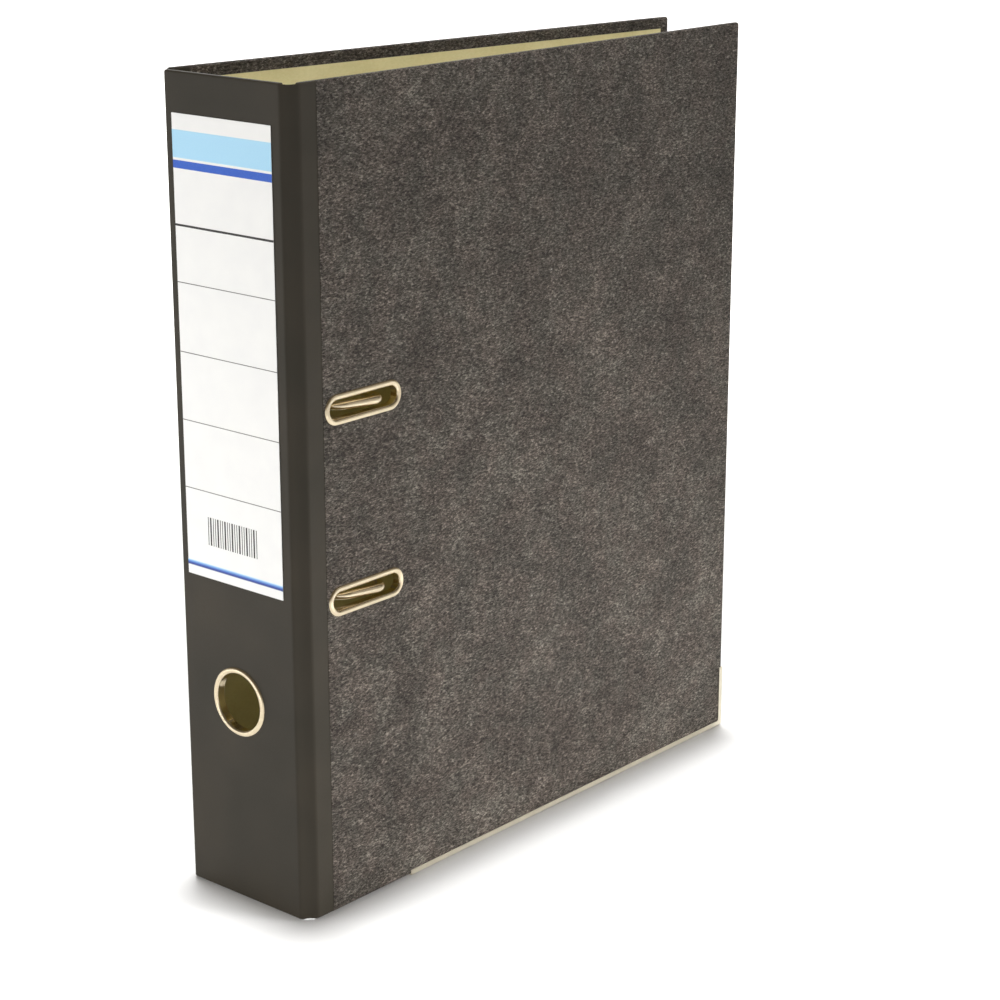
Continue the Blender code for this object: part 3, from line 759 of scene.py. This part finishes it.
def metal_edge(side, name, look):
    """A nickel channel over the lower edge, turned up over the fore-edge corner, its folds rounded."""
    outer_round, inner_round = 1.2 * MM, 1 * MM
    outline = [(SHOE_START, 0)] + arc(DEPTH - outer_round, outer_round, outer_round, -90, 0, 6)
    outline += [(DEPTH, SHOE_RISE), (DEPTH - SHOE_LEG, SHOE_RISE)]
    outline += arc(DEPTH - SHOE_LEG - inner_round, SHOE_LEG + inner_round, inner_round, 0, -90, 5)
    outline += [(SHOE_START, SHOE_LEG)]
    outside = WALL + 2 * (GAP + SHOE_METAL)
    middle = side * (OUTER_HALF - WALL / 2)
    obj = plate(f"{name}_edge_channel", [outline], outside, at(middle, 0, 0, FACE_X), 0.14 * MM, 2)
    half = WALL / 2 + GAP
    low = (middle - half, SHOE_START - MM, SHOE_METAL)
    room = block("room", low, (middle + half, DEPTH - SHOE_METAL, SHOE_RISE + MM))
    cut(obj, room)
    place(obj, f"{name}_cover", look, "edge_nickel", f"{name}_metal_edge")


def rim_profile(depth):
    """A rolled eyelet's section, (out from the opening, up from the paper): a low dome, then the barrel."""
    half, rise, clear = RIM / 2, 0.85 * MM, 0.02 * MM
    dome = [(half + half * across, rise * up + clear) for across, up in arc(0, 0, 1, 0, 170, 12)]
    barrel = [(0.02 * MM, -0.25 * MM), (0, -0.6 * MM), (0, -depth + 0.4 * MM)]
    curl = [(0.06 * MM, -depth + 0.1 * MM), (0.3 * MM, -depth), (BARREL, -depth + 0.15 * MM)]
    return dome + barrel + curl + [(BARREL, -0.15 * MM), (BARREL + 0.2 * MM, clear)]


def eyelets(look):
    """The round rim in the spine and the two slotted rims in the front cover."""
    depth = WALL + GAP + SHOE_METAL + 2 * GAP
    where = at(RING_AT[0], 0, RING_AT[1], FACE_Y)
    ring = ring_sweep("finger_ring_rim", circle(0, 0, RING_HOLE / 2, 96), rim_profile(depth), where)
    place(ring, "spine", look, "nickel", "finger_ring")
    for place_name, z in zip(("lower", "upper"), SLOT_Z):
        where = at(OUTER_HALF, SLOT_Y, z, FACE_X)
        rim = ring_sweep(f"slot_rim_{place_name}", stadium(0, 0, *SLOT), rim_profile(depth), where)
        place(rim, "front_cover", look, "nickel", f"slot_eyelet_{place_name}")


# ---------------------------------------------------------------- label


def label_print():
    """The boxes printed in each ink, as (left, lower, right, upper) from the middle of the label's foot."""
    side = LABEL.x / 2
    head_line = (145.2 * MM, 146.1 * MM)
    blue_band = (168.3 * MM, 171.5 * MM)
    pale_band = (172.5 * MM, 183.5 * MM)
    half_rule = 0.18 * MM
    rules = [rise * MM for rise in (122.5, 94.0, 65.7, 37.2)]
    bar_foot, bar_head = 14.5 * MM, 26.5 * MM
    bars = []
    x = -15 * MM
    for i in range(21):
        wide = (0.42, 0.84, 0.42)[i % 3] * MM
        bars.append((x, bar_foot, x + wide, bar_head))
        x += wide + 0.84 * MM
    return {
        "ink": [(-side, head_line[0], side, head_line[1])] + bars,
        "grey_ink": [(-side, rise - half_rule, side, rise + half_rule) for rise in rules],
        "pale_blue_ink": [(-side, pale_band[0], side, pale_band[1])],
        "blue_ink": [(-side, blue_band[0], side, blue_band[1])],
        "stripe_ink": [(-side, STRIPE[0], side, STRIPE[1])],
    }


def label(card, looks):
    """The spine's label: a card with lines, bands, bars and a stripe printed on it."""
    thick, proud = 0.2 * MM, 0.02 * MM
    corners = tuple(-LABEL / 2), tuple(LABEL / 2)
    where = at(LABEL_AT.x, -GAP - thick / 2, LABEL_AT.y, FACE_Y)
    obj = plate("label_card", [rectangle(*corners, 0.3 * MM)], thick, where, 0.05 * MM, 1)
    place(obj, "spine", card, "label_paper", "spine_label")

    face = -GAP - thick
    for name, boxes in label_print().items():
        points, faces = [], []
        for x0, z0, x1, z1 in boxes:
            base = len(points)
            for y in (face - proud, face + proud):
                for x, z in ((x0, z0), (x1, z0), (x1, z1), (x0, z1)):
                    points.append((LABEL_AT.x + x, y, LABEL_FOOT + z))
            for quad in ((0, 1, 2, 3), (7, 6, 5, 4), (0, 4, 5, 1), (1, 5, 6, 2), (2, 6, 7, 3), (3, 7, 4, 0)):
                faces.append(tuple(base + k for k in quad))
        obj = from_faces("label_" + name, points, faces)
        place(obj, "spine", looks[name], "label_paper")


# ---------------------------------------------------------------- mechanism


def rivet_places():
    return [
        (y, z)
        for z in (PLATE_Z[0] + RIVET_INSET, PLATE_Z[1] - RIVET_INSET)
        for y in (PLATE_Y[0] + RIVET_INSET, PLATE_Y[1] - RIVET_INSET)
    ]


def base_plate(look):
    """The stamped plate, with pressed stiffening beads and two lugs curled over the shaft."""
    holes = [circle(y, z, RIVET_R + 0.2 * MM, 24) for y, z in rivet_places()]
    holes += [circle(POST_Y, z, RIVET_R, 24) for z in FILING_Z]
    outline = rectangle((PLATE_Y[0], PLATE_Z[0]), (PLATE_Y[1], PLATE_Z[1]), 5 * MM)
    where = at(over_back(GAP + PLATE / 2), 0, 0, FACE_X)
    obj = plate("mechanism_plate", [outline] + holes, PLATE, where, 0.3 * MM, 3)
    inner, outer = WIRE / 2 + 0.15 * MM, WIRE / 2 + 1 * MM
    y, h = SHAFT
    foot = h - PLATE
    saddle = [(-outer, -foot)] + arc(0, 0, outer, 180, 0, 20) + [(outer, -foot), (inner, -foot)]
    saddle += arc(0, 0, inner, 0, 180, 20) + [(-inner, -foot)]
    across = Matrix(((0, 1, 0, 0), (-1, 0, 0, 0), (0, 0, 1, 0), (0, 0, 0, 1)))
    for z in LUG_Z:
        lug = plate("lug", [saddle], LUG_WIDE, at(over_back(h), y, z, across), 0.2 * MM, 2)
        cut(obj, lug, operation="UNION")
    upright = Matrix.Rotation(math.pi / 2, 4, "Z")
    bead_outline = stadium(0, 0, 128 * MM, 3 * MM, 10)
    for y in (21.6 * MM, 62.6 * MM):
        where = at(over_back(GAP + PLATE), y, (PLATE_Z[0] + PLATE_Z[1]) / 2, FACE_X) @ upright
        cut(obj, plate("bead", [bead_outline], 1.3 * MM, where, 0.6 * MM, 3), operation="UNION")
    place(obj, "back_cover", look, "steel", "base_plate")


def posts(look):
    """Turned posts with a pointed tip, a collar on the plate and a shank through it."""
    foot, shoulder = GAP, GAP + PLATE + 0.15 * MM
    collar = POST_R + 1.5 * MM
    profile = [
        (0, POST_TOP),
        (0.35 * MM, POST_TOP - 0.03 * MM),
        (0.75 * MM, POST_TOP - 0.25 * MM),
        (1.2 * MM, POST_TOP - 1.1 * MM),
        (POST_R - 0.15 * MM, POST_TOP - 3.6 * MM),
        (POST_R, POST_TOP - 4.6 * MM),
        (POST_R, shoulder + 2.4 * MM),
        (POST_R + 0.25 * MM, shoulder + 1.6 * MM),
        (collar - 0.5 * MM, shoulder + 1.1 * MM),
        (collar, shoulder + 0.7 * MM),
        (collar, shoulder),
        (RIVET_R - 0.2 * MM, shoulder),
        (RIVET_R - 0.2 * MM, foot),
        (0, foot),
    ]
    for name, z in zip(("lower", "upper"), FILING_Z):
        obj = lathe(f"filing_post_{name}", profile, at(over_back(0), POST_Y, z, FACE_X))
        place(obj, "back_cover", look, "nickel", f"post_{name}")


def rivets(look):
    """Domed heads outside, and a smaller set head over the plate inside."""
    outer = -WALL - GAP
    inner = PLATE + 2 * GAP
    inside = [(0, 0.9), (1.2, 0.86), (2.1, 0.68), (2.8, 0.4), (3.2, 0.12), (3.2, 0.0)]
    outside = [(4.2, 0.0), (4.2, -0.15), (3.9, -0.5), (3.2, -0.82), (2.2, -1.06), (1.1, -1.18), (0, -1.2)]
    profile = [(r * MM, inner + h * MM) for r, h in inside]
    profile += [(RIVET_R, inner), (RIVET_R, outer)]
    profile += [(r * MM, outer + h * MM) for r, h in outside]
    for name, (y, z) in zip(("lower_inner", "lower_outer", "upper_inner", "upper_outer"), rivet_places()):
        obj = lathe("rivet_head_" + name, profile, at(over_back(0), y, z, FACE_X))
        place(obj, "back_cover", look, "nickel", "rivet_" + name)


def arches(look):
    """Both arches and the cranked shaft between them, bent from one wire."""

    def spot(point, z):
        return Vector((over_back(point[1]), point[0], z))

    def arch(z):
        top = [(POST_Y, POST_TOP + 0.4 * MM), (POST_Y, ARCH_TOP), ARCH_SHOULDER, SHAFT]
        return [spot(point, z) for point in top]

    lower, upper = FILING_Z
    crank_low, crank_high = CRANK_Z
    crank = [spot(SHAFT, crank_high), spot(CRANK, crank_high), spot(CRANK, crank_low), spot(SHAFT, crank_low)]
    corners = arch(upper) + crank + arch(lower)[::-1]
    radii = [4, 10, 4, 3, 3, 3, 3, 4, 10, 4]
    points = filleted(corners, [r * MM for r in radii])
    curve = bpy.data.curves.new("arch_pair", "CURVE")
    curve.dimensions = "3D"
    curve.bevel_depth = WIRE / 2
    curve.bevel_resolution = 8
    curve.use_fill_caps = True
    spline = curve.splines.new("POLY")
    spline.points.add(len(points) - 1)
    for point, here in zip(spline.points, points):
        point.co = (*here, 1)
    obj = curve_mesh("arch_pair", curve, Matrix.Identity(4))
    place(obj, "arches", look, "nickel", "arch_wire")


def lift_spring(look):
    """The leaf under the crank, its middle raised off the plate."""
    low, mid = PLATE + 2 * GAP, PLATE + 5 * GAP
    thick = 0.4 * MM
    line = [(154 * MM, low), (162 * MM, low), (178 * MM, mid), (190 * MM, mid), (197 * MM, low)]
    outline = line + [(z, h + thick) for z, h in reversed(line)]
    obj = plate("crank_spring", [outline], 6 * MM, at(over_back(0), CRANK[0], 0, SIDE_ON), 0.1 * MM, 1)
    place(obj, "back_cover", look, "spring_steel", "lift_spring")


def lever_bracket(look):
    """Two ears on a foot, which hold the lever's pin."""
    height, z = LEVER_PIVOT
    foot = PLATE + 2 * GAP
    half = LEVER_HALF + 1.4 * MM + SHEET_STEEL
    radius = 4 * MM
    outline = [(z - radius, foot)] + arc(z, height, radius, 180, 0, 24) + [(z + radius, foot)]
    obj = plate("lever_cheeks", [outline], 2 * half, at(over_back(0), CRANK[0], 0, SIDE_ON), 0.2 * MM, 2)
    room = half - SHEET_STEEL
    low = (over_back(foot + SHEET_STEEL), CRANK[0] - room, z - 2 * radius)
    gap = block("gap", low, (over_back(height + 2 * radius), CRANK[0] + room, z + 2 * radius))
    centre = at(over_back(height), CRANK[0], z, SIDE_ON)
    bore = plate("bore", [circle(0, 0, PIN_R + 0.1 * MM)], 4 * half, centre)
    cut(obj, gap, bore)
    place(obj, "back_cover", look, "steel", "lever_bracket")


def pin(name, node, centre, half, body, look):
    """A pin peened to a small head at each end."""
    head = 0.6 * MM
    wide = PIN_R + 0.6 * MM
    upper = [(0, half + head), (wide - 0.5 * MM, half + head), (wide - 0.1 * MM, half + 0.7 * head)]
    upper += [(wide, half), (PIN_R, half)]
    profile = upper + [(r, -h) for r, h in reversed(upper)]
    place(lathe(name, profile, at(*centre, SIDE_ON), 32), body, look, "steel", node)


def lever(look):
    """A channel around the roller that runs out into a flat arm with an upturned end."""
    height, z = LEVER_PIVOT
    boss, skin = 4.4 * MM, 0.9 * MM
    # The arm's side view, as (distance from the pin, height over it) in millimetres
    top = [(26, 4.4), (27.6, 3.4), (29.5, 2.4), (32, 2), (44, 2), (47.5, 2.7), (51, 4.5), (54, 6.5)]
    bottom = [(54, 5.4), (51.6, 3.8), (48, 1.8), (44.6, 1), (26, 1), (23, 0.2), (18, -3.4)]
    side = arc(0, 0, boss, 230, 90, 24) + [(a * MM, b * MM) for a, b in top + bottom]
    outline = [(-reach, up) for reach, up in side]
    centre = (over_back(height), CRANK[0], z)
    obj = plate("lever_arm", [outline], 2 * LEVER_HALF, at(*centre, SIDE_ON), 0.3 * MM, 3)
    room = LEVER_HALF - SHEET_STEEL
    near, far = CRANK[0] - room, CRANK[0] + room
    below = over_back(height - 2 * boss)
    low, high = (below, near, z - 29 * MM), (over_back(height + boss - skin), far, z + 2 * boss)
    channel = block("channel", low, high)
    low, high = (below, near, z - (LEVER_LENGTH - 10 * MM)), (over_back(height + MM), far, z - 28 * MM)
    flat = block("flat", low, high)
    bore = circle(0, 0, PIN_R + 0.1 * MM)
    bores = [plate("bore", [bore], 4 * LEVER_HALF, at(*spot, SIDE_ON)) for spot in (centre, roller_centre())]
    cut(obj, channel, flat, *bores)
    place(obj, "lever", look, "steel", "lever")


def roller_centre():
    """Over the crank, a roller's radius and a small gap away."""
    return (over_back(CRANK[1] + WIRE / 2 + 0.3 * MM + ROLLER_R), CRANK[0], LEVER_PIVOT[1] - ROLLER_ARM)


def roller(look):
    """The wheel on the lever that presses the crank."""
    half = LEVER_HALF - SHEET_STEEL - 0.3 * MM
    rings = [circle(0, 0, ROLLER_R, 64), circle(0, 0, PIN_R + 0.15 * MM, 32)]
    obj = plate("lever_roller", rings, 2 * half, at(*roller_centre(), SIDE_ON), 0.35 * MM, 3)
    place(obj, "roller", look, "black_plastic", "roller")


def paper_clamp(look, plastic):
    """The dished bar that holds the papers down, with a ribbed grip under it on each post."""
    clearance = POST_R + 0.4 * MM
    rim = 2.4 * MM
    outline = rectangle((POST_Y - CLAMP_HALF, CLAMP_Z[0]), (POST_Y + CLAMP_HALF, CLAMP_Z[1]), 6 * MM)
    holes = [circle(POST_Y, z, clearance, 32) for z in FILING_Z]
    where = at(over_back(CLAMP_H + CLAMP_METAL / 2), 0, 0, FACE_X)
    obj = plate("clamp_plate", [outline] + holes, CLAMP_METAL, where, 0.5 * MM, 3)
    reach = CLAMP_HALF - rim
    hollow = rectangle((POST_Y - reach, CLAMP_Z[0] + rim), (POST_Y + reach, CLAMP_Z[1] - rim), 3.8 * MM)
    dish = plate("dish", [hollow], 1 * MM, at(over_back(CLAMP_H + CLAMP_METAL), 0, 0, FACE_X), 0.45 * MM, 3)
    cut(obj, dish)
    place(obj, "paper_clamp", look, "steel", "clamp_bar")
    tall = 5 * MM
    ribbed = []
    for i, angle in enumerate(angles(96)):
        radius = (5.5 if i % 4 < 2 else 5.15) * MM
        ribbed.append((radius * math.cos(angle), radius * math.sin(angle)))
    rings = [ribbed, circle(0, 0, clearance - 0.2 * MM, 32)]
    for name, z in zip(("lower", "upper"), FILING_Z):
        where = at(over_back(CLAMP_H - GAP - tall / 2), POST_Y, z, FACE_X)
        grip = plate(f"clamp_collar_{name}", rings, tall, where, 0.12 * MM, 1)
        place(grip, "paper_clamp", plastic, "black_plastic", f"clamp_grip_{name}")


# ---------------------------------------------------------------- stage


def floor():
    """A pale floor, whiter to the camera with distance so that it runs into the surround."""
    shape = bmesh.new()
    bmesh.ops.create_grid(shape, x_segments=2, y_segments=2, size=12)
    mesh = bpy.data.meshes.new("floor")
    shape.to_mesh(mesh)
    shape.free()
    obj = link_object("floor", mesh)
    obj.location.z = -0.4 * MM
    look = Look("floor_white", srgb(250, 250, 250), 0.9, specular=0.0)
    ray = look.node("ShaderNodeLightPath")
    away = look.node("ShaderNodeVectorMath", operation="LENGTH")
    look.link(look.place, away.inputs[0])
    near, far = srgb(246, 246, 246), (1.5, 1.5, 1.5, 1)
    seen = look.mixed(look.spread(away.outputs["Value"], 0.3, 1.1), near, far)
    mirrored, as_light = srgb(222, 222, 220), srgb(140, 139, 137)
    other = look.mixed(ray.outputs["Is Diffuse Ray"], mirrored, as_light)
    look.colour(look.mixed(ray.outputs["Is Camera Ray"], other, seen))
    mesh.materials.append(look.material)


def surround():
    """White to the camera. To the object it is bright at the horizon, and dimmer and browner overhead."""
    world = bpy.data.worlds.new("surround")
    bpy.context.scene.world = world
    world.use_nodes = True
    tree = world.node_tree
    direction = tree.nodes.new("ShaderNodeTexCoord")
    axes = tree.nodes.new("ShaderNodeSeparateXYZ")
    ramp = tree.nodes.new("ShaderNodeValToRGB")
    stops = (
        (0, (1, 1, 1, 1)),
        (0.1, (0.8, 0.78, 0.74, 1)),
        (0.3, (0.25, 0.22, 0.18, 1)),
        (1, (0.16, 0.14, 0.11, 1)),
    )
    fill_ramp(ramp, stops)
    shaded = tree.nodes["Background"]
    shaded.inputs["Strength"].default_value = 0.6
    plain = tree.nodes.new("ShaderNodeBackground")
    plain.inputs["Strength"].default_value = 1.35
    ray = tree.nodes.new("ShaderNodeLightPath")
    mix = tree.nodes.new("ShaderNodeMixShader")
    tree.links.new(direction.outputs["Generated"], axes.inputs["Vector"])
    tree.links.new(axes.outputs["Z"], ramp.inputs["Fac"])
    tree.links.new(ramp.outputs["Color"], shaded.inputs["Color"])
    tree.links.new(ray.outputs["Is Camera Ray"], mix.inputs["Fac"])
    tree.links.new(shaded.outputs["Background"], mix.inputs[1])
    tree.links.new(plain.outputs["Background"], mix.inputs[2])
    tree.links.new(mix.outputs["Shader"], tree.nodes["World Output"].inputs["Surface"])


def area_light(name, place_at, target, size, power, reflected=True, spread=180):
    """A soft box turned to its target, out of the camera's sight and perhaps out of reflections."""
    data = bpy.data.lights.new(name, "AREA")
    data.shape = "RECTANGLE"
    data.size, data.size_y = size
    data.energy = power
    data.spread = math.radians(spread)
    lamp = link_object(name, data)
    lamp.location = place_at
    lamp.rotation_euler = (Vector(target) - Vector(place_at)).to_track_quat("-Z", "Y").to_euler()
    lamp.visible_camera = False
    lamp.visible_glossy = reflected


def lights():
    """Soft boxes round the file and low at its foot, one that rakes down over the covers, and a high sun."""
    centre, above = (0, 0, 0.17), (0, 0.02, 0.48)
    spine_foot, cover_foot = (0, -0.145, 0.035), (0.037, 0, 0.018)
    area_light("key", (-1.3, -1.7, 0.6), centre, (1.4, 1.0), 20.5, reflected=False)
    area_light("spine_low", (-0.22, -0.66, 0.035), spine_foot, (0.6, 0.06), 2.3, reflected=False)
    area_light("cover_low", (0.42, 0.06, 0.018), cover_foot, (0.6, 0.03), 1.35, reflected=False, spread=110)
    area_light("cover_far", (1.5, 0.8, 0.95), centre, (1.2, 1.0), 0.9)
    area_light("over_cover", (1.0, 0.5, 1.3), above, (0.6, 0.6), 0.8, reflected=False, spread=24)
    area_light("behind", (-1.4, 1.8, 1.2), centre, (1.6, 1.4), 16)
    sun = bpy.data.lights.new("overhead", "SUN")
    sun.energy = 2.6
    sun.angle = math.radians(4.5)
    lamp = link_object("overhead", sun)
    lamp.rotation_euler = Vector((-0.034, 0.034, 1)).to_track_quat("Z", "Y").to_euler()
    lamp.visible_glossy = False


def camera():
    data = bpy.data.cameras.new("camera")
    data.sensor_width = 36
    data.lens = 88.48
    data.clip_start, data.clip_end = 0.05, 50
    obj = link_object("camera", data)
    obj.location = (0.6985, -0.7932, 0.4652)
    yaw, pitch = 0.710, 0.296
    obj.rotation_euler = (math.pi / 2 - pitch, 0, yaw)
    bpy.context.scene.camera = obj


# ---------------------------------------------------------------- everything


def inks():
    return {
        "ink": ink("ink", 36, 34, 34),
        "grey_ink": ink("grey_ink", 96, 94, 92),
        "pale_blue_ink": ink("pale_blue_ink", 168, 214, 240),
        "blue_ink": ink("blue_ink", 44, 88, 186),
        "stripe_ink": stripe_ink(LABEL_FOOT + STRIPE[0], LABEL_FOOT + STRIPE[1]),
    }


def case(black, marbled, cream, nickel):
    edge_nickel = metal("edge_nickel", srgb(236, 228, 208), 0.3, 0.42, 0.4 * MM, (1, 0.05, 0.3), metallic=0.8)
    slots = [stadium(SLOT_Y, z, SLOT[0] + 2 * BARREL, SLOT[1] + 2 * BARREL) for z in SLOT_Z]
    rivet_holes = [circle(y, z, RIVET_R + 0.2 * MM, 24) for y, z in rivet_places()]
    spine_wrap(black)
    hinge_wraps(black)
    hinge_linings(cream)
    cover_wrap(1, "front", slots, marbled)
    cover_wrap(-1, "back", rivet_holes, marbled)
    metal_edge(1, "front", edge_nickel)
    metal_edge(-1, "back", edge_nickel)
    eyelets(nickel)
    label(label_paper(), inks())


def mechanism(nickel):
    steel = metal("steel", srgb(214, 212, 206), 0.24, 0.34, 0.5 * MM, (1, 1, 0.08))
    spring_steel = metal("spring_steel", srgb(150, 152, 158), 0.22, 0.36, 0.4 * MM, (1, 1, 0.1))
    plastic = black_plastic()
    base_plate(steel)
    posts(nickel)
    rivets(nickel)
    arches(nickel)
    lift_spring(spring_steel)
    lever_bracket(steel)
    pivot = (over_back(LEVER_PIVOT[0]), CRANK[0], LEVER_PIVOT[1])
    pin("lever_pivot_pin", "lever_pin", pivot, LEVER_HALF + 1.5 * MM + SHEET_STEEL, "back_cover", steel)
    lever(steel)
    pin("roller_axle", "roller_pin", roller_centre(), LEVER_HALF + 0.1 * MM, "lever", steel)
    roller(plastic)
    paper_clamp(steel, plastic)


def kept_pieces(cream, nickel):
    """The boards, linings and washers keep their CAD shapes, with new materials."""
    board = greyboard()
    looks = {
        "spine_board": board,
        "front_board": board,
        "back_board": board,
        "spine_lining": cream,
        "front_lining": cream,
        "back_lining": cream,
        "finger_ring_washer": nickel,
        "slot_washer_lower": nickel,
        "slot_washer_upper": nickel,
    }
    for name, look in looks.items():
        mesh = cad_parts[name].data
        mesh.materials.clear()
        mesh.materials.append(look)


def build():
    cream = cream_paper()
    nickel = metal("nickel", srgb(238, 222, 192), 0.12, 0.24, 0.6 * MM, (1, 1, 1))
    case(spine_paper(), marbled_paper(), cream, nickel)
    mechanism(nickel)
    kept_pieces(cream, nickel)


camera()
build()
floor()
surround()
lights()
bpy.context.scene.view_settings.view_transform = "Standard"
